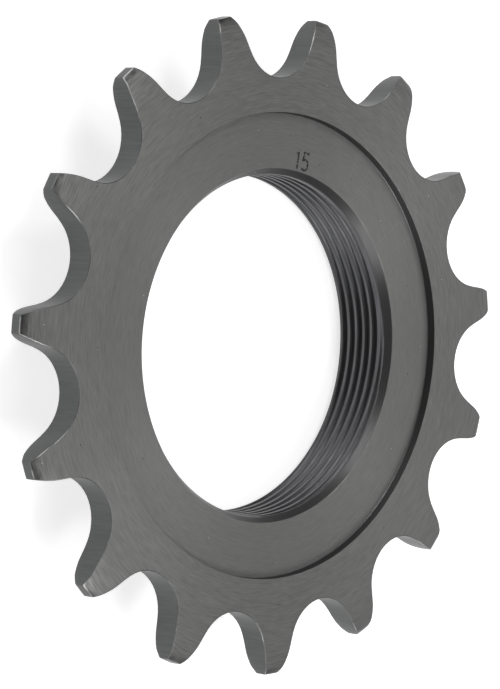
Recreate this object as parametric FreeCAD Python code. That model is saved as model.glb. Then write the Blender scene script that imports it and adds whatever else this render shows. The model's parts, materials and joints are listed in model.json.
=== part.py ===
import FreeCAD, Part
import math
import os

# A one-piece track cog, in millimetres.
# The origin is on the bore axis, at the back face of the boss, which seats against the hub.
# +Z runs out of the hub towards the recessed outer face of the tooth plate.

# Chain and teeth
tooth_count = 15
chain_pitch = 12.7
roller_radius = 3.875
root_clearance = 0.075      # between a seated roller and the bottom of its gap
seat_radius = 4.5           # arc at the bottom of each gap
seat_half_angle = 58.0      # degrees from the gap's centre line
lead_radius = 10.5          # flatter hollow arc above the seat
lead_end_angle = 66.5       # degrees from the gap's centre line
crown_radius = 10.0         # rounded flank that leads the roller in
addendum = 2.46             # tooth height above the pitch circle

# Tooth plate, with both faces eased towards the tips so that the chain drops on
plate_thickness = 2.9
front_relief = {"length": 3.4, "radius": 8.5, "tip_width": 0.8, "tip_drop": 0.98}
back_relief = {"length": 3.1, "radius": 10.0, "tip_width": 0.7, "tip_drop": 0.74}

# Recess turned into the outer face, where the lockring bears
recess_radius = 23.2
recess_depth = 0.92

# Bore with the hub's right-hand thread, 1.37 inch across with 24 turns to the inch
crest_radius = 17.08
thread_pitch = 25.4 / 24
thread_depth = 0.42         # from the crests to the bottom of the groove
thread_root_width = 0.12    # flat at the bottom of the groove
thread_flank_angle = 30.0   # degrees between each flank and a plane across the axis
thread_start = 0.22         # height of the groove's middle on the +X side
lead_in_depth = 0.61        # how far each lead-in bevel opens the bore
front_lead_in_length = 0.88
back_lead_in_length = 0.6

# Boss behind the plate
boss_wall = 3.6
boss_length = 5.5
boss_flare = 0.8            # bevel where the boss meets the plate
boss_edge = 0.5             # bevel round the back face

# Values that follow from the sizes above
pitch_radius = chain_pitch / (2 * math.sin(math.pi / tooth_count))
root_radius = pitch_radius - roller_radius - root_clearance
tip_radius = pitch_radius + addendum
rim_radius = crest_radius + lead_in_depth
boss_radius = crest_radius + boss_wall
plate_back = boss_length
plate_front = plate_back + plate_thickness
recess_floor = plate_front - recess_depth
cutter_overrun = 0.5        # how far the gap cutter runs past the plate and the tips
thread_overrun = 0.13       # how far the thread's cutter stands inside the crests


def point(r, z):
    return FreeCAD.Vector(r, 0, z)


def line(start, end):
    return Part.LineSegment(start, end).toShape()


def relief(face_z, towards_middle, size):
    """The eased side of the teeth, from the flat face out to the tip cylinder.

    Returns its two edges and their points. towards_middle is -1 on the front face
    and +1 on the back face.
    """
    start_r = tip_radius - size["length"]
    bevel_r = tip_radius - size["tip_width"]
    radius = size["radius"]

    def drop(r):
        return radius - math.sqrt(radius ** 2 - (r - start_r) ** 2)

    start = point(start_r, face_z)
    middle_r = (start_r + bevel_r) / 2
    middle = point(middle_r, face_z + towards_middle * drop(middle_r))
    bevel = point(bevel_r, face_z + towards_middle * drop(bevel_r))
    tip = point(tip_radius, face_z + towards_middle * size["tip_drop"])
    curve = Part.Arc(start, middle, bevel).toShape()
    return curve, line(bevel, tip), start, tip


def turned_blank():
    """The whole cog before its teeth are cut: one section turned about the bore axis."""
    back_in = point(rim_radius, 0)
    back_out = point(boss_radius - boss_edge, 0)
    boss_low = point(boss_radius, boss_edge)
    boss_high = point(boss_radius, plate_back - boss_flare)
    plate_in = point(boss_radius + boss_flare, plate_back)
    back_curve, back_bevel, back_start, back_tip = relief(plate_back, 1, back_relief)
    front_curve, front_bevel, front_start, front_tip = relief(plate_front, -1, front_relief)
    recess_edge = point(recess_radius, plate_front)
    floor_out = point(recess_radius, recess_floor)
    floor_in = point(rim_radius, recess_floor)
    crest_top = point(crest_radius, recess_floor - front_lead_in_length)
    crest_low = point(crest_radius, back_lead_in_length)
    edges = [
        line(back_in, back_out),
        line(back_out, boss_low),
        line(boss_low, boss_high),
        line(boss_high, plate_in),
        line(plate_in, back_start),
        back_curve,
        back_bevel,
        line(back_tip, front_tip),
        front_bevel,
        front_curve,
        line(front_start, recess_edge),
        line(recess_edge, floor_out),
        line(floor_out, floor_in),
        line(floor_in, crest_top),
        line(crest_top, crest_low),
        line(crest_low, back_in),
    ]
    section = Part.Face(Part.Wire(Part.__sortEdges__(edges)))
    axis = FreeCAD.Vector(0, 0, 1)
    return section.revolve(FreeCAD.Vector(0, 0, 0), axis, 360)


def thread_groove():
    """The helical groove of the thread, as one solid that runs out of both ends of the bore."""
    start_z = thread_start - 2 * thread_pitch
    height = plate_front - start_z + thread_pitch
    spread = math.tan(math.radians(thread_flank_angle))
    mouth = crest_radius - thread_overrun
    root = crest_radius + thread_depth
    root_half = thread_root_width / 2
    mouth_half = root_half + (root - mouth) * spread
    corners = [
        point(mouth, start_z - mouth_half),
        point(root, start_z - root_half),
        point(root, start_z + root_half),
        point(mouth, start_z + mouth_half),
    ]
    profile = Part.makePolygon(corners + corners[:1])
    helix = Part.makeLongHelix(thread_pitch, height, crest_radius)
    helix.translate(FreeCAD.Vector(0, 0, start_z))
    return Part.Wire(helix.Edges).makePipeShell([profile], True, True)


def from_centre_line(angle):
    """Unit direction in the plate's plane, at an angle from straight down the gap (-Y)."""
    turn = math.radians(angle)
    return FreeCAD.Vector(math.sin(turn), -math.cos(turn), 0)


def circles_meet(centre, radius, outer_radius):
    """Where a flank's circle crosses a circle about the bore axis, on the gap's side."""
    distance = centre.Length
    along = (distance ** 2 + outer_radius ** 2 - radius ** 2) / (2 * distance)
    across = math.sqrt(outer_radius ** 2 - along ** 2)
    unit = centre * (1 / distance)
    side = FreeCAD.Vector(-unit.y, unit.x, 0)
    return unit * along + side * across


def flank_arc(centre, radius, start, end):
    middle = (start + end) * 0.5 - centre
    middle.normalize()
    return Part.Arc(start, centre + middle * radius, end).toShape()


def mirrored(vector):
    return FreeCAD.Vector(-vector.x, vector.y, vector.z)


def gap_cutter():
    """The prism that cuts one gap between two teeth, on +Y.

    Each side is three arcs that meet smoothly: the roller's seat, a flatter hollow
    above it, and the rounded flank that runs out past the tip.
    """
    seat_centre = FreeCAD.Vector(0, root_radius + seat_radius, 0)
    seat_end_way = from_centre_line(seat_half_angle)
    seat_end = seat_centre + seat_end_way * seat_radius
    lead_centre = seat_centre + seat_end_way * (seat_radius - lead_radius)
    lead_end_way = from_centre_line(lead_end_angle)
    lead_end = lead_centre + lead_end_way * lead_radius
    crown_centre = lead_end + lead_end_way * crown_radius
    outside = circles_meet(crown_centre, crown_radius, tip_radius + cutter_overrun)
    bottom = FreeCAD.Vector(0, root_radius, 0)
    beyond_tips = FreeCAD.Vector(0, tip_radius + cutter_overrun, 0)

    edges = [Part.Arc(mirrored(seat_end), bottom, seat_end).toShape()]
    for side in (lambda vector: vector, mirrored):
        edges.append(flank_arc(side(lead_centre), lead_radius, side(seat_end), side(lead_end)))
        edges.append(flank_arc(side(crown_centre), crown_radius, side(lead_end), side(outside)))
    edges.append(Part.Arc(mirrored(outside), beyond_tips, outside).toShape())
    face = Part.Face(Part.Wire(Part.__sortEdges__(edges)))
    face.translate(FreeCAD.Vector(0, 0, plate_back - cutter_overrun))
    return face.extrude(FreeCAD.Vector(0, 0, plate_thickness + 2 * cutter_overrun))


def track_cog():
    cutter = gap_cutter()
    gaps = []
    for number in range(tooth_count):
        gap = cutter.copy()
        turn = number * 360 / tooth_count
        gap.rotate(FreeCAD.Vector(0, 0, 0), FreeCAD.Vector(0, 0, 1), turn)
        gaps.append(gap)
    return turned_blank().cut(thread_groove()).cut(gaps)


def main():
    os.makedirs("parts", exist_ok=True)
    cog = track_cog()
    solid = cog.Solids[0]
    print("solids", len(cog.Solids), "valid", solid.isValid(), "faces", len(solid.Faces))
    print("volume mm3", round(solid.Volume, 1), "tip radius", round(tip_radius, 3))
    print("root radius", round(root_radius, 3), "overall depth", plate_front)
    solid.exportStep("parts/track_cog.step")


main()
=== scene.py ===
# %% [markdown]
# # A track cog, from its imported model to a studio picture
# A track cog is one piece of steel: a toothed plate, a boss behind it, and a threaded bore that screws
# on to the hub. It was turned on a lathe, and its teeth were cut afterwards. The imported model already
# has this form, with its edges sharp. Here it is built again as one closed mesh that can take what the
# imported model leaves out: softened edges, small fillets, the tool's marks on the tips and a stamped number.

# %% Load the frame
import json
import math

import bmesh
import bpy
from mathutils import Matrix, Vector


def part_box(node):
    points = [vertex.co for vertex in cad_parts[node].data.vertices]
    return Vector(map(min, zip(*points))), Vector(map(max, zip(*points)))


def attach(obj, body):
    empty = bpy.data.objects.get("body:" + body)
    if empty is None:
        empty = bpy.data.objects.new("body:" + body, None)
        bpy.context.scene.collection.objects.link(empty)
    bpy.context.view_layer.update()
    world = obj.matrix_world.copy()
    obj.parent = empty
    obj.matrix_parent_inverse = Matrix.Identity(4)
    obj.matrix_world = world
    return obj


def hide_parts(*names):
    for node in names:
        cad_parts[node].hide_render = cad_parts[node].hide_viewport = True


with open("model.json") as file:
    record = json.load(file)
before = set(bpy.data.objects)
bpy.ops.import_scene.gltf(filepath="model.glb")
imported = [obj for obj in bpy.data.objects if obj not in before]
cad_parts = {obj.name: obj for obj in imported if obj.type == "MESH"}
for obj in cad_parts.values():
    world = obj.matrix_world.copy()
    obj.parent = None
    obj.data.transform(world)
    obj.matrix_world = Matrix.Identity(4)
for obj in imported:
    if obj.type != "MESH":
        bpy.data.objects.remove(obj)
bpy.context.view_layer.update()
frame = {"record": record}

# %% [markdown]
# ## Sizes that come from the frame
# The mounts in the record state the real interfaces, so the bore, the tooth count and the pitch circle
# are read from there. The box of the node gives the tip radius and the overall depth. Nothing that fits
# another part is typed in twice.

# %% Read the interfaces
MM = 0.001
lowest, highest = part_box("track_cog")
mounts = {mount["name"]: mount for mount in frame["record"]["mounts"]}
tooth_count = mounts["chain_teeth"]["dims"]["count"]
pitch_radius = mounts["chain_teeth"]["dims"]["pcd_mm"] * MM / 2
crest_radius = mounts["hub_thread"]["dims"]["r_mm"] * MM
recess_floor = mounts["lockring_seat"]["pos_m"][2]
plate_front = highest.z
tip_radius = -lowest.y
print("teeth", tooth_count)
print("tip radius mm", round(tip_radius / MM, 3), "depth mm", round(plate_front / MM, 3))

# %% [markdown]
# ## Camera
# The photograph looks at the cog's outer face from about 45 degrees to one side, with the cog standing
# on edge. A cog can't stand like that by itself, so here it lies on its boss. The camera takes the
# same place relative to the cog instead, up on the left and looking down, and is rolled a quarter turn
# so that the picture comes out as the photograph does. It stands close, so the near teeth look larger.

# %% Place the camera
camera_place = Vector((-203.5, 19.16, 209.16)) * MM
camera_aim = Vector((-4.104, 0.361, 8.4)) * MM
camera_roll = math.radians(94.017)
camera_lens = 150.7


def add_camera(place, aim, roll, lens):
    """A camera at place that looks at aim, turned about its own line of sight by roll."""
    camera = bpy.data.objects.new("camera", bpy.data.cameras.new("camera"))
    bpy.context.scene.collection.objects.link(camera)
    look = (aim - place).to_track_quat("-Z", "Y").to_matrix().to_4x4()
    camera.matrix_world = Matrix.Translation(place) @ look @ Matrix.Rotation(roll, 4, "Z")
    camera.data.lens = lens
    camera.data.clip_start = 0.01
    bpy.context.scene.camera = camera
    return camera


camera = add_camera(camera_place, camera_aim, camera_roll, camera_lens)
print("camera distance mm", round((camera_aim - camera_place).length / MM, 1))

# %% [markdown]
# ## The outline of the teeth
# Each gap between two teeth is a roller's seat with a flatter arc above it, then a rounded flank that
# runs out to the tip. A loop over the same arcs gives the points, and with each point the way that
# the cut surface faces. That direction is what lets the edges be softened later without a modifier.

# %% Tooth outline
seat_radius = 4.5 * MM
seat_half_angle = math.radians(58)
lead_radius = 10.5 * MM
lead_end_angle = math.radians(66.5)
crown_radius = 10 * MM
corner_radius = 0.18 * MM
root_below_pitch = 3.95 * MM
root_radius = pitch_radius - root_below_pitch
half_pitch = math.pi / tooth_count
arc_steps = {"seat": 8, "lead": 2, "crown": 7, "corner": 3, "tip": 2}


def polar(angle, radius=1.0):
    return Vector((math.cos(angle), math.sin(angle))) * radius


def arc(centre, radius, start, end, count, hollow):
    """Points on an arc, each with the way its surface faces; the last point is left out."""
    facing = -1 if hollow else 1
    points = []
    for step in range(count):
        way = polar(start + (end - start) * step / count)
        points.append((centre + way * radius, way * facing))
    return points


def circles_meet(centre, radius, outer_radius):
    """Where a circle crosses a circle about the bore axis, on the side of the gap."""
    distance = centre.length
    along = (distance ** 2 + outer_radius ** 2 - radius ** 2) / (2 * distance)
    across = math.sqrt(outer_radius ** 2 - along ** 2)
    unit = centre / distance
    return unit * along + Vector((-unit.y, unit.x)) * across


def half_gap():
    """From the bottom of the gap on +Y to the middle of the tooth on its right."""
    down = -math.pi / 2
    seat_end = down + seat_half_angle
    lead_end = down + lead_end_angle
    seat_centre = Vector((0, root_radius + seat_radius))
    lead_centre = seat_centre + polar(seat_end, seat_radius - lead_radius)
    crown_centre = lead_centre + polar(lead_end, lead_radius + crown_radius)
    corner_centre = circles_meet(crown_centre, crown_radius - corner_radius, tip_radius - corner_radius)
    crown_start = lead_end + math.pi
    to_corner = corner_centre - crown_centre
    crown_end = math.atan2(to_corner.y, to_corner.x)
    tip_start = math.atan2(corner_centre.y, corner_centre.x)
    tip_end = math.pi / 2 - half_pitch
    points = arc(seat_centre, seat_radius, down, seat_end, arc_steps["seat"], True)
    points += arc(lead_centre, lead_radius, seat_end, lead_end, arc_steps["lead"], True)
    points += arc(crown_centre, crown_radius, crown_start, crown_end, arc_steps["crown"], False)
    points += arc(corner_centre, corner_radius, crown_end, tip_start, arc_steps["corner"], False)
    points += arc(Vector((0, 0)), tip_radius, tip_start, tip_end, arc_steps["tip"], False)
    return points + [(polar(tip_end, tip_radius), polar(tip_end))]


def whole_outline():
    """Every gap in turn, anticlockwise, starting at the middle of a tooth."""
    right = half_gap()
    left = [(Vector((-p.x, p.y)), Vector((-n.x, n.y))) for p, n in right[1:-1]]
    one_gap = right[::-1] + left
    outline = []
    for tooth in range(tooth_count):
        turn = Matrix.Rotation(tooth * 2 * half_pitch, 2)
        outline += [(turn @ point, turn @ facing) for point, facing in one_gap]
    return outline


outline = whole_outline()
print("points round the teeth", len(outline))

# %% [markdown]
# ## The lathe's section
# Everything but the gaps was turned, so one half section describes it. Both faces of the teeth are
# eased towards the tips, first by a gentle curve and then by a steep bevel, which curves over in front
# and shows the feed marks of the tool there. The outer face has a shallow recess for the lockring, and
# the boss at the back is what bears on the hub.

# %% Heights of the two faces
front_relief = {"length": 3.4 * MM, "radius": 8.5 * MM, "tip_width": 0.8 * MM, "tip_drop": 0.98 * MM,
                "ease": 0.55}
back_relief = {"length": 3.1 * MM, "radius": 10 * MM, "tip_width": 0.7 * MM, "tip_drop": 0.74 * MM,
               "ease": 0.0}
plate_thickness = 2.9 * MM
plate_back = plate_front - plate_thickness
bevel_start = tip_radius - front_relief["tip_width"]
ridge_spacing = 0.36 * MM
ridge_depth = 0.03 * MM


def relief_drop(radius, size):
    """How far the tooth's face has dropped at this distance from the axis."""
    start = tip_radius - size["length"]
    bevel = tip_radius - size["tip_width"]

    def curve(r):
        return size["radius"] - math.sqrt(size["radius"] ** 2 - max(r - start, 0) ** 2)

    if radius <= bevel:
        return curve(radius)
    share = (radius - bevel) / (tip_radius - bevel)
    rest = size["tip_drop"] - curve(bevel)
    return curve(bevel) + rest * (size["ease"] * share ** 2 + (1 - size["ease"]) * share)


def ridge_drop(radius):
    """The tool's feed marks on the steep bevel: shallow hollows with a ridge between each two."""
    out = radius - bevel_start
    if out <= 0:
        return 0.0
    growth = out / front_relief["tip_width"]
    return ridge_depth * growth * (1 - math.cos(2 * math.pi * out / ridge_spacing)) / 2


def front_height(radius):
    return plate_front - relief_drop(radius, front_relief) - ridge_drop(radius)


def back_height(radius):
    return plate_back + relief_drop(radius, back_relief)


print("thickness at the tips, mm", round((front_height(tip_radius) - back_height(tip_radius)) / MM, 2))

# %% [markdown]
# Round features are given as lists of radius and height, from the bore's front rim outwards and, at
# the back, inwards again. A sharp corner of the real thing is a very small arc here, because a lathe
# tool leaves one and because it is what catches the light as a thin bright line.

# %% Round features in front and behind
edge_round = 0.07 * MM
lip_round = 0.03 * MM
lead_in_depth = 0.61 * MM
front_lead_in = 0.88 * MM
back_lead_in = 0.6 * MM
recess_radius = 23.2 * MM
recess_fillet = 0.1 * MM
boss_wall = 3.6 * MM
boss_radius = crest_radius + boss_wall
boss_fillet = 0.8 * MM
boss_edge = 0.5 * MM
rim_radius = crest_radius + lead_in_depth
plain_rings = [radius * MM for radius in (24.6, 26.3)]
tooth_rings = [radius * MM for radius in (27.2, 28.3, 29.55, 30.2, 30.8, 31.4, 31.9, 32.15)]
ridges = 2
rings_per_ridge = 4
bevel_steps = range(ridges * rings_per_ridge + 1)
bevel_rings = [bevel_start + ridge_spacing * step / rings_per_ridge for step in bevel_steps]
corner_steps = 3
back_corner_steps = 2
fillet_steps = 4
boss_fillet_steps = 6


def rounding(start, sharp, end, steps):
    """Points on a curve from start to end that bends towards the sharp corner between them."""
    points = []
    for step in range(steps + 1):
        t = step / steps
        points.append(start * (1 - t) ** 2 + sharp * 2 * t * (1 - t) + end * t ** 2)
    return points


def corner(before, at, after, size, steps=corner_steps):
    """Points that round the corner at a point of the section, size away along each side."""
    start = at + (before - at).normalized() * size
    end = at + (after - at).normalized() * size
    return rounding(start, at, end, steps)


def fillet(centre, radius, start, end, steps):
    return [centre + polar(start + (end - start) * k / steps, radius) for k in range(steps + 1)]


lead_in_foot = Vector((crest_radius, recess_floor - front_lead_in))
rim = Vector((rim_radius, recess_floor))
recess_lip = Vector((recess_radius, plate_front))
wall_foot = Vector((recess_radius, recess_floor))
fillet_centre = Vector((recess_radius - recess_fillet, recess_floor + recess_fillet))
front_section = corner(lead_in_foot, rim, wall_foot, edge_round)
front_section += fillet(fillet_centre, recess_fillet, -math.pi / 2, 0, fillet_steps)
front_section += corner(wall_foot, recess_lip, Vector((tip_radius, plate_front)), lip_round)
front_section += [Vector((radius, plate_front)) for radius in plain_rings]

boss_corner = Vector((boss_radius + boss_fillet, plate_back - boss_fillet))
bevel_top = Vector((boss_radius, boss_edge))
bevel_foot = Vector((boss_radius - boss_edge, 0))
back_rim = Vector((rim_radius, 0))
back_foot = Vector((crest_radius, back_lead_in))
back_section = [Vector((radius, plate_back)) for radius in plain_rings[::-1]]
back_section += fillet(boss_corner, boss_fillet, math.pi / 2, math.pi, boss_fillet_steps)
boss_path = [Vector((boss_radius, plate_back)), bevel_top, bevel_foot, back_rim, back_foot]
for before, at, after in zip(boss_path, boss_path[1:], boss_path[2:]):
    back_section += corner(before, at, after, edge_round, back_corner_steps)
print("turned points: front", len(front_section), "back", len(back_section))

# %% [markdown]
# ## The thread
# The hub's thread is 1.37 inch across with 24 turns to the inch, cut right-handed at 60 degrees. A
# texture could only fake it, and it is in plain view in the bore, so it is modelled. Each row of the
# mesh follows the helix, which keeps the crests crisp with few rows. At the bevelled back mouth,
# whichever of the two cuts deeper wins, as it does in the metal. In front the groove fades out below
# the bevel, because the photograph shows a broad plain crest there.

# %% Thread form
inch_in_mm = 25.4
turns_per_inch = 24
thread_pitch = inch_in_mm / turns_per_inch * MM
thread_depth = 0.42 * MM
flank_angle = math.radians(30)
flank_slope = math.tan(flank_angle)
root_half_width = 0.06 * MM
crest_half_gap = root_half_width + thread_depth * flank_slope
crest_round = 0.06 * MM
groove_at_x_axis = 0.22 * MM
thread_fade = 0.15 * MM
halvings = 20
no_height = 1e-9


def groove_depth(offset):
    """Depth of the thread at a distance along the axis from the middle of its groove."""
    side = abs(offset) - root_half_width
    return min(thread_depth, max(0.0, thread_depth - side / flank_slope))


def lead_in_radius(height):
    """Radius of the bore's bevelled mouths at this height."""
    front = rim_radius - (recess_floor - height) * lead_in_depth / front_lead_in
    back = rim_radius - height * lead_in_depth / back_lead_in
    return max(front, back, crest_radius)


def thread_share(groove_height):
    """What share of its full depth the groove has: below the front mouth it fades out."""
    below_mouth = recess_floor - front_lead_in - groove_height
    return min(1.0, max(0.0, below_mouth / thread_fade))


def cut_depth(height, groove_height):
    return groove_depth(height - groove_height) * thread_share(groove_height)


def bore_radius(height, groove_height):
    return max(crest_radius + cut_depth(height, groove_height), lead_in_radius(height))


def thread_offsets():
    """Where the rows of one turn of thread lie, from the middle of a groove to the next crest."""
    middle = (root_half_width + crest_half_gap) / 2
    half = [root_half_width, middle, crest_half_gap - crest_round, crest_half_gap + crest_round]
    return [-offset for offset in half[::-1]] + half + [thread_pitch / 2]


def bore_column(angle):
    """Radius and height of the bore's points at one angle, from the back rim to the front one."""
    low = back_section[-1].y
    high = front_section[0].y
    phase = groove_at_x_axis + thread_pitch * angle / (2 * math.pi)
    points = []
    # Every column has the same turns, from below the back mouth to above the front one, so that
    # their rows match. Points past a mouth are held at its rim and fall together there.
    for turn in range(-2, math.ceil(high / thread_pitch) + 1):
        groove_height = phase + turn * thread_pitch
        for offset in thread_offsets():
            height = min(max(groove_height + offset, low), high)
            points.append([bore_radius(height, groove_height), height, groove_height])
    for near, far in zip(points[:-1], points[1:]):
        snap_to_crossing(near, far)
    return [Vector((radius, height)) for radius, height, _ in points]


def bevel_wins(height, groove_height):
    return lead_in_radius(height) > crest_radius + cut_depth(height, groove_height)


def snap_to_crossing(near, far):
    """Moves the nearer of two neighbouring points to where thread and bevel cross between them."""
    if bevel_wins(near[1], near[2]) == bevel_wins(far[1], far[2]) or far[1] - near[1] < no_height:
        return
    low, high = near[1], far[1]
    for _ in range(halvings):
        middle = (low + high) / 2
        groove_height = near[2] if middle - near[1] < far[1] - middle else far[2]
        if bevel_wins(middle, groove_height) == bevel_wins(near[1], near[2]):
            low = middle
        else:
            high = middle
    moved = near if middle - near[1] < far[1] - middle else far
    moved[0], moved[1] = bore_radius(middle, moved[2]), middle


print("rows in one turn of thread", len(thread_offsets()))

# %% [markdown]
# ## One closed mesh
# The mesh is a grid: one row for each point of the section, one column for each point of the outline.
# The rows on the teeth run along circles, as the lathe's cuts did, and stop at the edge of the gap.
# Because the thread climbs by one turn on its way round, the last column joins the first one with the
# bore's rows moved along by one turn.

# %% Build the columns
rows_per_turn = len(thread_offsets())
face_rings = tooth_rings + bevel_rings + [tip_radius]
edge_steps = 3
flank_shares = (0, 0.33, 0.67, 1)
same_place = 1e-7


def at_height(place, height):
    """A point of the plane, raised to this height."""
    return place.to_3d() + Vector((0, 0, height))


def tooth_column(point, reach, ray):
    """The part of a column on the teeth: out over the front, down the cut side, back in behind."""
    front_edge = front_height(point.length)
    back_edge = back_height(point.length)
    top = at_height(point, front_edge - edge_round)
    bottom = at_height(point, back_edge + edge_round)
    radii = [min(radius, reach) for radius in face_rings]
    column = [at_height(ray * radius, front_height(radius)) for radius in radii]
    column += rounding(column[-1], at_height(point, front_edge), top, edge_steps)[1:-1]
    column += [top.lerp(bottom, share) for share in flank_shares]
    behind = [at_height(ray * radius, back_height(radius)) for radius in radii[::-1]]
    column += rounding(bottom, at_height(point, back_edge), behind[0], edge_steps)[1:-1]
    return column + behind


def whole_column(point, inner, angle):
    """Every point of one column, with the number of points before the bore."""
    reach = inner.length
    ray = inner / reach
    column = [at_height(ray * p.x, p.y) for p in front_section]
    column += tooth_column(point, reach, ray)
    column += [at_height(ray * p.x, p.y) for p in back_section]
    before_bore = len(column)
    column += [at_height(ray * p.x, p.y) for p in bore_column(angle)]
    return column, before_bore


def add_column(mesh, places):
    """Adds the points of a column to the mesh; points that fall together share one vertex."""
    column = []
    for place in places:
        if column and (place - column[-1].co).length < same_place:
            column.append(column[-1])
        elif column and (place - column[0].co).length < same_place:
            column.append(column[0])
        else:
            column.append(mesh.verts.new(place))
    return column


def following_row(row, before_bore, last_row):
    """The row of the first column that a row of the last column joins."""
    if row < before_bore:
        return row
    return min(row + rows_per_turn, last_row)


def fill(mesh, corners):
    """A face between four neighbouring points, or three where two of them are one vertex."""
    distinct = list(dict.fromkeys(corners))
    return mesh.faces.new(distinct) if len(distinct) > 2 else None


front_rows = len(front_section)
flank_start = front_rows + len(face_rings) + edge_steps - 1
flank_end = flank_start + len(flank_shares) - 1
lip_start = front_rows - len(plain_rings) - (corner_steps + 1)
fillet_start = lip_start - (fillet_steps + 1)
cut_rows = range(flank_start - edge_steps, flank_end + edge_steps)
edge_rows = set(range(corner_steps)) | (set(cut_rows) - set(range(flank_start, flank_end)))
mouth_margin = 0.02 * MM
BRUSHED, RECESS, CORNER, MILLED, THREADED, STAMPED = range(6)


def face_finish(row, before_bore, corners):
    """Which finish a face has, from the row it starts at and, in the bore, from where it lies."""
    if row >= before_bore - 1:
        middle = sum((corner.co for corner in corners), Vector()) / len(corners)
        outside_crests = middle.xy.length > crest_radius + mouth_margin
        in_mouth = outside_crests and middle.z > recess_floor - front_lead_in
        return CORNER if in_mouth else THREADED
    if row in cut_rows:
        return MILLED
    if fillet_start <= row < lip_start:
        return CORNER
    return RECESS if row < fillet_start else BRUSHED


def build_cog():
    """The whole grid as a bmesh. Each face gets the finish of its rows and a mark if it is an edge."""
    mesh = bmesh.new()
    edge_mark = mesh.faces.layers.float.new("edge")
    columns = []
    angle = None
    for point, facing in outline:
        inner = point - facing * edge_round
        turn = math.atan2(inner.y, inner.x)
        if angle is not None:
            # The angle grows steadily past half a turn, since the thread's height follows it.
            turn += 2 * math.pi * round((angle - turn) / (2 * math.pi))
        angle = turn
        places, before_bore = whole_column(point, inner, angle)
        columns.append(add_column(mesh, places))
    last_row = len(columns[0]) - 1
    for number, column in enumerate(columns):
        wraps = number == len(columns) - 1
        neighbour = columns[0] if wraps else columns[number + 1]
        for row in range(last_row + 1):
            after = (row + 1) % (last_row + 1)
            across = [row, after]
            if wraps:
                across = [following_row(index, before_bore, last_row) for index in across]
            face = fill(mesh, [column[row], column[after], neighbour[across[1]], neighbour[across[0]]])
            if face:
                face.smooth = True
                face.material_index = face_finish(row, before_bore, face.verts)
                face[edge_mark] = float(row in edge_rows)
    return mesh


cog_mesh = build_cog()
print("points", len(cog_mesh.verts), "faces", len(cog_mesh.faces))
open_edges = sum(1 for edge in cog_mesh.edges if len(edge.link_faces) != 2)
print("edges that are not shared by two faces", open_edges)

# %% [markdown]
# ## Colour and nodes
# Colours are chosen as they look on a screen, and Blender mixes light in linear values, so one
# function converts them. Others add a node with its settings and links, a step of arithmetic, or a blend
# of two colours, which keeps each material short enough to read from top to bottom.

# %% Helpers for materials


def linear(code):
    """An sRGB hex colour as the linear RGBA that Blender's nodes expect."""
    values = [int(code[i:i + 2], 16) / 255 for i in (1, 3, 5)]
    return [v / 12.92 if v <= 0.04045 else ((v + 0.055) / 1.055) ** 2.4 for v in values] + [1.0]


def node(tree, kind, links=None, inputs=None, **settings):
    """Adds a node; links and inputs go by the name or number of its sockets."""
    new = tree.nodes.new(kind)
    for name, value in settings.items():
        setattr(new, name, value)
    for key, value in (inputs or {}).items():
        new.inputs[key].default_value = value
    for key, socket in (links or {}).items():
        tree.links.new(socket, new.inputs[key])
    return new


def calculate(tree, operation, *values):
    """One step of arithmetic; each value is a socket or a plain number."""
    links = {}
    inputs = {}
    for number, value in enumerate(values):
        chosen = inputs if isinstance(value, (int, float)) else links
        chosen[number] = value
    return node(tree, "ShaderNodeMath", links, inputs, operation=operation).outputs[0]


def remap(tree, value, low, high, to_low=0.0, to_high=1.0):
    """Turns a value from low to high into one from to_low to to_high, and holds it at both ends."""
    return node(tree, "ShaderNodeMapRange", {0: value}, {1: low, 2: high, 3: to_low, 4: to_high}).outputs[0]


def noise(tree, place, scale, variant, detail=2.0):
    """Soft noise about 0.5; each variant is another pattern."""
    inputs = {"W": variant, "Scale": scale, "Detail": detail}
    return node(tree, "ShaderNodeTexNoise", {"Vector": place}, inputs, noise_dimensions="4D").outputs[0]


def blend(tree, mask, under, over):
    """Colour over laid on colour under where the mask is 1; each is a socket or a hex colour."""
    links = {0: mask}
    inputs = {}
    for number, colour in ((6, under), (7, over)):
        if isinstance(colour, str):
            inputs[number] = linear(colour)
        else:
            links[number] = colour
    return node(tree, "ShaderNodeMix", links, inputs, data_type="RGBA").outputs[2]


def new_material(name):
    """An empty material with its node tree and its output node."""
    material = bpy.data.materials.new(name)
    material.use_nodes = True
    tree = material.node_tree
    tree.nodes.clear()
    return material, tree, tree.nodes.new("ShaderNodeOutputMaterial")


def bumps(tree, height, depth):
    """The way that the surface faces when a height from 0 to 1 raises it by up to this depth."""
    return node(tree, "ShaderNodeBump", {"Height": height}, {"Strength": 1.0, "Distance": depth}).outputs[0]


def finish_metal(tree, output, links, inputs):
    """Ends a material with a bare metal surface that has these links and settings."""
    shader = node(tree, "ShaderNodeBsdfPrincipled", links, {"Metallic": 1.0, **inputs})
    tree.links.new(shader.outputs[0], output.inputs["Surface"])


print("mid grey", [round(v, 3) for v in linear("#808080")])

# %% [markdown]
# ## Turned and brushed steel
# The faces are chromium-molybdenum steel, turned and then brushed: darker and duller than stainless,
# with short fine strokes that run round the axis. Noise draws a stroke where it is read at a point that
# moves quickly with the radius and slowly with the angle. The cosine and the sine of the angle are used,
# so that it has no seam, and a slow drift lets the strokes cross a little, as brushed ones do.

# %% Strokes round the axis
middle_of_teeth = 27 * MM
drift_size = 9 * MM


def object_place(tree):
    return node(tree, "ShaderNodeTexCoord").outputs["Object"]


def from_axis(tree, place):
    """The same place at height 0, and its distance from the axis."""
    flat = node(tree, "ShaderNodeVectorMath", {0: place}, {1: (1.0, 1.0, 0.0)}, operation="MULTIPLY")
    radius = node(tree, "ShaderNodeVectorMath", {0: flat.outputs[0]}, operation="LENGTH")
    return flat.outputs[0], radius.outputs["Value"]


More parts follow.
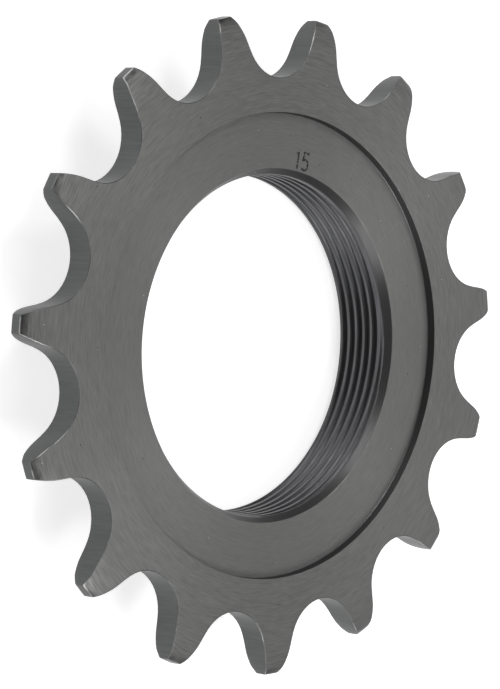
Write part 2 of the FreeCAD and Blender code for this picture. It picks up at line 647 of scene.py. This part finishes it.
def strokes(tree, width, length, drift, variant):
    """Noise drawn out into strokes of this width and length that drift in and out by up to drift."""
    place = object_place(tree)
    flat, radius = from_axis(tree, place)
    way = node(tree, "ShaderNodeVectorMath", {0: flat}, operation="NORMALIZE").outputs[0]
    height = node(tree, "ShaderNodeSeparateXYZ", {0: place}).outputs[2]
    out = calculate(tree, "ADD", radius, height)
    wander = calculate(tree, "MULTIPLY_ADD", noise(tree, place, 1 / drift_size, variant), drift, out)
    steps = calculate(tree, "MULTIPLY", wander, 1 / width)
    tall = node(tree, "ShaderNodeCombineXYZ", {2: steps}).outputs[0]
    strokes_round = middle_of_teeth / length
    round_axis = node(tree, "ShaderNodeVectorMath", {0: way}, {3: strokes_round}, operation="SCALE")
    point = node(tree, "ShaderNodeVectorMath", {0: round_axis.outputs[0], 1: tall}, operation="ADD")
    return noise(tree, point.outputs[0], 1.0, variant)


def between_circles(tree, inner, outer, least=0.0):
    """A value that rises from least on the inner circle about the axis to 1 on the outer one."""
    radius = from_axis(tree, object_place(tree))[1]
    return remap(tree, radius, inner, outer, least)


print("strokes are read at", round(middle_of_teeth / MM, 1), "mm from the axis")

# %% [markdown]
# Two things lie on top of the strokes. A few dark pits and bright nicks are cells of a pattern, each shown
# only near its own middle; the brightness of the nicks is a painted glint. The softened edges are polished
# by handling, most of all on the teeth, which lowers their roughness, and a thin bright line that comes and
# goes is painted on them as a highlight. The mesh marks its edge faces for that.

# %% Pits, nicks and edges, with painted glints and a painted highlight
nick_spacing = 2.2 * MM
nick_radius = 0.075 * MM
worn_patch = 3 * MM
worn_variant = 3.0
wear_starts = 28 * MM
wear_is_full = 30.5 * MM
wear_inside = 0.2


def nicks(tree, share):
    """A mask of small round spots, in this share of the pattern's cells, and a random value for each."""
    cells = node(tree, "ShaderNodeTexVoronoi", {"Vector": object_place(tree)}, {"Scale": 1 / nick_spacing},
                 voronoi_dimensions="2D")
    size = nick_radius / nick_spacing
    near = remap(tree, cells.outputs["Distance"], size, size / 2)
    kinds = node(tree, "ShaderNodeSeparateColor", {0: cells.outputs["Color"]})
    picked = calculate(tree, "LESS_THAN", kinds.outputs[0], share)
    return calculate(tree, "MULTIPLY", near, picked), kinds.outputs[1]


def worn_edges(tree, least):
    """A mask of the softened edges, in patches some millimetres long, for their polish and their painted
    highlight; least is what all of them show.
    """
    marked = node(tree, "ShaderNodeAttribute", attribute_name="edge").outputs["Fac"]
    patches = noise(tree, object_place(tree), 1 / worn_patch, worn_variant, 3.0)
    wear_and_highlight = remap(tree, patches, 0.5, 0.62, least)
    on_teeth = between_circles(tree, wear_starts, wear_is_full, wear_inside)
    return calculate(tree, "MULTIPLY", calculate(tree, "MULTIPLY", marked, on_teeth), wear_and_highlight)


print("cells that may hold a nick, per square cm", round((10 * MM / nick_spacing) ** 2, 1))

# %% [markdown]
# ## Lathe finishes
# The same steel has three lathe finishes. The outer faces were brushed after turning, and look dull, with
# marks that show most on the teeth. Their bevels at the tips were only turned, with deeper marks that glint,
# and their colour is painted darker as painted shade of the steep bevels. The recess was turned finely, so it
# is even and a little paler, with more pits. The smooth corners, at the mouth of the bore and the foot of the
# recess, were cut slowly and mirror the most. Real brush marks are about 0.03 mm wide, which is too fine to
# show, so they are drawn 0.08 mm wide.

# %% Lathe finishes
bevel_gloss = 0.36
worn_gloss = 0.32
bevel_marks = 5.0


def stroke_height(tree, width):
    """Fine strokes over some broader, longer ones, as a height about 0.5."""
    fine = strokes(tree, width, 18 * width, 0.05 * MM, 1.0)
    broad = strokes(tree, 3 * width, 60 * width, 0.1 * MM, 2.0)
    return calculate(tree, "MULTIPLY_ADD", fine, 0.8, calculate(tree, "MULTIPLY", broad, 0.2))


def stroke_tone(tree, height):
    """The strokes from dark 0 to light 1, with more contrast on the teeth than inside them."""
    on_teeth = between_circles(tree, 27.5 * MM, 31.5 * MM)
    spread = remap(tree, on_teeth, 0.0, 1.0, 0.2, 0.12)
    least = calculate(tree, "SUBTRACT", 0.5, spread)
    most = calculate(tree, "ADD", 0.5, spread)
    return node(tree, "ShaderNodeMapRange", {0: height, 1: least, 2: most}).outputs[0]


def with_nicks(tree, colour, share):
    """The colour with dark pits and bright nicks, whose brightness is a painted glint, in this share of the
    cells.
    """
    mask, kind = nicks(tree, share)
    is_bright = calculate(tree, "GREATER_THAN", kind, 0.5)
    # Dark pits are the steel's own; the bright spots are painted glints.
    return blend(tree, mask, colour, blend(tree, is_bright, "#303030", "#b8b8b4"))


def lathed_steel(name, stroke_width, dark, light, smooth, rough, depth, nick_share, least_wear):
    """Steel with strokes round the axis, from dark to light and from smooth to rough, this deep."""
    material, tree, output = new_material(name)
    height = stroke_height(tree, stroke_width)
    tone = stroke_tone(tree, height)
    bevel = between_circles(tree, bevel_start, tip_radius)
    wear_and_highlight = worn_edges(tree, least_wear)
    colour = blend(tree, tone, dark, light)
    # The tip bevels are painted darker, as painted shade of their steep slope; their deeper marks and lower
    # roughness, set below, are real.
    colour = blend(tree, bevel, colour, blend(tree, tone, "#2c2c2c", "#7e7e7d"))
    # On the softened edges the bright colour is a painted highlight; their lower roughness, set below, is the
    # polish.
    colour = blend(tree, wear_and_highlight, with_nicks(tree, colour, nick_share), "#b4b4b2")
    gloss = remap(tree, height, 0.35, 0.65, rough, smooth)
    for mask, value in ((bevel, bevel_gloss), (wear_and_highlight, worn_gloss)):
        gloss = node(tree, "ShaderNodeMix", {0: mask, 2: gloss}, {3: value}, data_type="FLOAT").outputs[0]
    deeper = calculate(tree, "MULTIPLY_ADD", bevel, bevel_marks, 1.0)
    marks = bumps(tree, calculate(tree, "MULTIPLY", height, deeper), depth)
    grain = node(tree, "ShaderNodeTangent", direction_type="RADIAL", axis="Z").outputs[0]
    links = {"Base Color": colour, "Roughness": gloss, "Normal": marks, "Tangent": grain}
    finish_metal(tree, output, links, {"Anisotropic": 0.55, "Anisotropic Rotation": 0.25})
    return material


lathe_finishes = [
    lathed_steel("brushed_chromoly_steel", 0.08 * MM, dark="#747473", light="#838382",
                 smooth=0.54, rough=0.64, depth=0.003 * MM, nick_share=0.06, least_wear=0.1),
    lathed_steel("fine_turned_chromoly_steel", 0.1 * MM, dark="#7f7f7e", light="#878786",
                 smooth=0.64, rough=0.7, depth=0.002 * MM, nick_share=0.14, least_wear=0.1),
    lathed_steel("smooth_turned_chromoly_steel", 0.12 * MM, dark="#606060", light="#6a6a6a",
                 smooth=0.36, rough=0.42, depth=0.003 * MM, nick_share=0.1, least_wear=0.2),
]
print("lathe finishes", [finish.name for finish in lathe_finishes])

# %% [markdown]
# ## Milled steel
# The gaps between the teeth were cut by a tool that moved along the axis. The cut is smoother than the faces,
# with very faint lines straight across the thickness, and its colour is painted darker as painted shade of
# the flanks. Noise is squeezed across the lines, to 0.2 mm, and drawn out to some 3 mm along the axis.

# %% Milled steel
line_width = 0.2 * MM
line_length = 3.3 * MM


def milled_steel():
    material, tree, output = new_material("milled_chromoly_steel")
    squeeze = (1 / line_width, 1 / line_width, 1 / line_length)
    place = node(tree, "ShaderNodeMapping", {"Vector": object_place(tree)}, {"Scale": squeeze}).outputs[0]
    lines = node(tree, "ShaderNodeTexNoise", {"Vector": place}, {"Scale": 1.0, "Detail": 2.0}).outputs[0]
    # The flanks' darker colour is painted shade.
    colour = blend(tree, remap(tree, lines, 0.3, 0.7), "#525353", "#595a5a")
    # On the softened edges the bright colour is a painted highlight.
    colour = blend(tree, worn_edges(tree, 0.15), colour, "#b8b8b6")
    marks = bumps(tree, lines, 0.002 * MM)
    finish_metal(tree, output, {"Base Color": colour, "Normal": marks}, {"Roughness": 0.4})
    return material


milled = milled_steel()
print("gap finish", milled.name)

# %% [markdown]
# ## Thread-cut and stamped steel
# The tap tears and smears the metal a little as it cuts, so the thread is duller than a ground one and
# has streaks along the helix. Its colour is painted darker than the faces', as painted shade of the bore.
# The stamped figures are painted dark, as painted shade in their hollow strokes, and flecked lighter at
# random.

# %% Thread-cut and stamped steel
fleck_size = 0.25 * MM


def threaded_steel():
    material, tree, output = new_material("thread_cut_chromoly_steel")
    streaks = strokes(tree, 0.12 * MM, 5 * MM, 0.2 * MM, 3.0)
    # The thread's darker colour is painted shade of the bore.
    colour = blend(tree, remap(tree, streaks, 0.38, 0.62), "#4f4f51", "#606062")
    marks = bumps(tree, streaks, 0.005 * MM)
    finish_metal(tree, output, {"Base Color": colour, "Normal": marks}, {"Roughness": 0.4})
    return material


def stamped_steel():
    material, tree, output = new_material("stamped_chromoly_steel")
    grains = {"Scale": 1 / fleck_size, "Detail": 2.0}
    flecks = node(tree, "ShaderNodeTexNoise", {"Vector": object_place(tree)}, grains).outputs[0]
    # The stamped strokes are painted dark as painted shade in their hollows, flecked lighter at random.
    colour = blend(tree, remap(tree, flecks, 0.45, 0.7), "#3a3a3a", "#909090")
    finish_metal(tree, output, {"Base Color": colour}, {"Roughness": 0.55})
    return material


finishes = lathe_finishes + [milled, threaded_steel(), stamped_steel()]
print("finishes", [finish.name for finish in finishes])

# %% [markdown]
# ## The cog's object
# The mesh becomes an object with all of the finishes. Each of its faces already has the number of its own.

# %% Make the cog's object


def as_object(name, mesh, materials):
    data = bpy.data.meshes.new(name)
    mesh.to_mesh(data)
    mesh.free()
    for material in materials:
        data.materials.append(material)
    piece = bpy.data.objects.new(name, data)
    bpy.context.scene.collection.objects.link(piece)
    return piece


cog = as_object("turned_cog", cog_mesh, finishes)
print("cog's faces", len(cog.data.polygons))

# %% [markdown]
# ## The stamped number
# The tooth count is struck into the recess beside the bore, with the foot of its figures towards the
# axis. A punch leaves strokes with round bottoms, so each figure is a bent tube that lies half sunk in
# the floor, and a Boolean takes the tubes out of the steel. The modifier is applied at once, which
# keeps the finished mesh free of the cutter.

# %% Stamp the tooth count
figures = {
    "1": [(0.2, 1.45), (0.5, 1.75), (0.5, 0.0)],
    "5": [(0.85, 1.75), (0.2, 1.75), (0.12, 1.0), (0.45, 1.1), (0.72, 0.98), (0.86, 0.72), (0.86, 0.38),
          (0.72, 0.12), (0.45, 0.0), (0.1, 0.1)],
}
figure_step = 1.1 * MM
figure_foot = 17.93 * MM
stamp_angle = math.radians(77.5)
punch_radius = 0.12 * MM
punch_rise = 0.02 * MM
punch_sides = 10
end_width = 0.6


def figure_path(points, start):
    """A figure's points on the recess floor, from its drawing in mm and where it starts on the line."""
    out = polar(stamp_angle)
    along = Vector((out.y, -out.x))
    places = [out * (figure_foot + y * MM) + along * (start + x * MM) for x, y in points]
    return [at_height(place, recess_floor + punch_rise) for place in places]


def add_tube(mesh, path):
    """A closed tube round a flat path, mitred at its corners and drawn in at its ends."""
    first = (path[0] - path[1]).normalized() * punch_radius / 2
    last = (path[-1] - path[-2]).normalized() * punch_radius / 2
    path = [path[0] + first] + path + [path[-1] + last]
    rings = []
    for number, here in enumerate(path):
        inwards = (here - path[max(number - 1, 0)]).normalized()
        onwards = (path[min(number + 1, len(path) - 1)] - here).normalized()
        ahead = (inwards + onwards).normalized()
        is_end = number in (0, len(path) - 1)
        side = ahead.cross(Vector((0, 0, 1))) / (1 if is_end else ahead.dot(onwards))
        radius = punch_radius * (end_width if is_end else 1)
        ways = [polar(2 * math.pi * step / punch_sides, radius) for step in range(punch_sides)]
        rings.append([mesh.verts.new(here + side * way.x + Vector((0, 0, way.y))) for way in ways])
    for near, far in zip(rings[:-1], rings[1:]):
        for step in range(punch_sides):
            after = (step + 1) % punch_sides
            fill(mesh, [near[step], near[after], far[after], far[step]])
    mesh.faces.new(rings[0])
    mesh.faces.new(rings[-1])


def keep_figures_crisp(data):
    """Marks the edges between figures and floor as sharp, so that the floor's shading stays flat."""
    mesh = bmesh.new()
    mesh.from_mesh(data)
    for edge in mesh.edges:
        stamped = [face.material_index == STAMPED for face in edge.link_faces]
        edge.smooth = all(stamped) or not any(stamped)
    mesh.to_mesh(data)
    mesh.free()


def stamp(piece, text):
    """Cuts the figures of a number into the piece."""
    mesh = bmesh.new()
    for place, figure in enumerate(text):
        start = (place - len(text) / 2) * figure_step
        add_tube(mesh, figure_path(figures[figure], start))
    bmesh.ops.recalc_face_normals(mesh, faces=mesh.faces)
    for face in mesh.faces:
        face.smooth = True
        face.material_index = STAMPED
    punch = as_object("punch", mesh, finishes)
    cut = piece.modifiers.new("stamp", "BOOLEAN")
    cut.operation = "DIFFERENCE"
    cut.solver = "EXACT"
    cut.object = punch
    depsgraph = bpy.context.evaluated_depsgraph_get()
    stamped = bpy.data.meshes.new_from_object(piece.evaluated_get(depsgraph), depsgraph=depsgraph)
    piece.modifiers.clear()
    piece.data = stamped
    bpy.data.objects.remove(punch)
    keep_figures_crisp(stamped)


stamp(cog, str(tooth_count))
print("faces of the figures", sum(1 for face in cog.data.polygons if face.material_index == STAMPED))

# %% [markdown]
# ## The cog on its body
# The piece takes the place of the imported node in pictures and rides on the only body. Weighted normals keep
# the broad faces flat in shading and leave the turn of the light to the small roundings. The sharp marks
# round the stamped figures are kept.

# %% Place the cog
weighted = cog.modifiers.new("weighted normals", "WEIGHTED_NORMAL")
weighted.weight = 100
weighted.keep_sharp = True
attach(cog, "root")
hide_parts("track_cog")
print("cog's faces", len(cog.data.polygons))

# %% [markdown]
# ## Floor
# The cog lies on a plain pale floor. What the camera and the steel see of it is brought up to white by
# a little light of its own, which lights nothing else, and the cog's shadow stays in the diffuse part.

# %% Lay the floor
own_light = 0.7
half_width = 3.0


def pale_floor():
    material, tree, output = new_material("matt_pale_floor")
    matt = node(tree, "ShaderNodeBsdfDiffuse", {}, {"Color": linear("#dcdcdc")})
    path = node(tree, "ShaderNodeLightPath")
    rays = calculate(tree, "MAXIMUM", path.outputs["Is Camera Ray"], path.outputs["Is Glossy Ray"])
    seen = calculate(tree, "MAXIMUM", rays, path.outputs["Is Transmission Ray"])
    lift = node(tree, "ShaderNodeEmission", {"Strength": calculate(tree, "MULTIPLY", seen, own_light)})
    both = node(tree, "ShaderNodeAddShader", {0: matt.outputs[0], 1: lift.outputs[0]})
    tree.links.new(both.outputs[0], output.inputs["Surface"])
    return material


def add_floor():
    mesh = bmesh.new()
    bmesh.ops.create_grid(mesh, x_segments=1, y_segments=1, size=half_width)
    floor = as_object("floor", mesh, [pale_floor()])
    return floor


floor = add_floor()
print("floor width m", floor.dimensions.x)

# %% [markdown]
# ## Light
# Steel shows what it mirrors, so each soft lamp stands where a part of the cog mirrors it towards the
# camera. The broad one overhead gives the faces their even grey, and a weak one far behind goes on from
# it. Two low ones at the sides show in the bevel of the bore and on the flanks of the teeth. Two small
# bright ones light the sides of the thread and draw the pale sweep across the brushed faces.

# %% Place the lamps
room_light = 0.13


def add_lamp(name, direction, distance, width, height, radiance):
    """A soft lamp in a direction from the cog, turned to face it; radiance 1 mirrors as white."""
    data = bpy.data.lights.new(name, "AREA")
    data.shape = "RECTANGLE"
    data.size = width
    data.size_y = height
    data.energy = radiance * math.pi * width * height
    lamp = bpy.data.objects.new(name, data)
    lamp.location = Vector(direction).normalized() * distance
    lamp.rotation_euler = (-lamp.location).to_track_quat("-Z", "Y").to_euler()
    bpy.context.scene.collection.objects.link(lamp)
    return lamp


lamps = [
    add_lamp("side_lamp_one", (-0.43, 0.86, 0.25), 0.8, 0.5, 0.5, 1.8),
    add_lamp("side_lamp_two", (-0.43, -0.86, 0.25), 0.8, 0.5, 0.5, 1.8),
    add_lamp("top_lamp", (0.33, -0.05, 0.94), 0.9, 1.1, 1.05, 1.11),
    add_lamp("far_lamp", (0.97, 0, 0.24), 0.9, 1.2, 0.35, 0.6),
    add_lamp("streak_lamp_one", (0.04, 0.65, 0.76), 0.9, 0.22, 0.22, 9.0),
    add_lamp("streak_lamp_two", (0.02, -0.62, 0.79), 0.9, 0.22, 0.22, 11.5),
]

world = bpy.data.worlds.new("studio")
world.use_nodes = True
background = world.node_tree.nodes["Background"]
background.inputs["Color"].default_value = linear("#ffffff")
background.inputs["Strength"].default_value = room_light
bpy.context.scene.world = world
bpy.context.scene.view_settings.view_transform = "Standard"
print("lamps", [lamp.name for lamp in lamps])
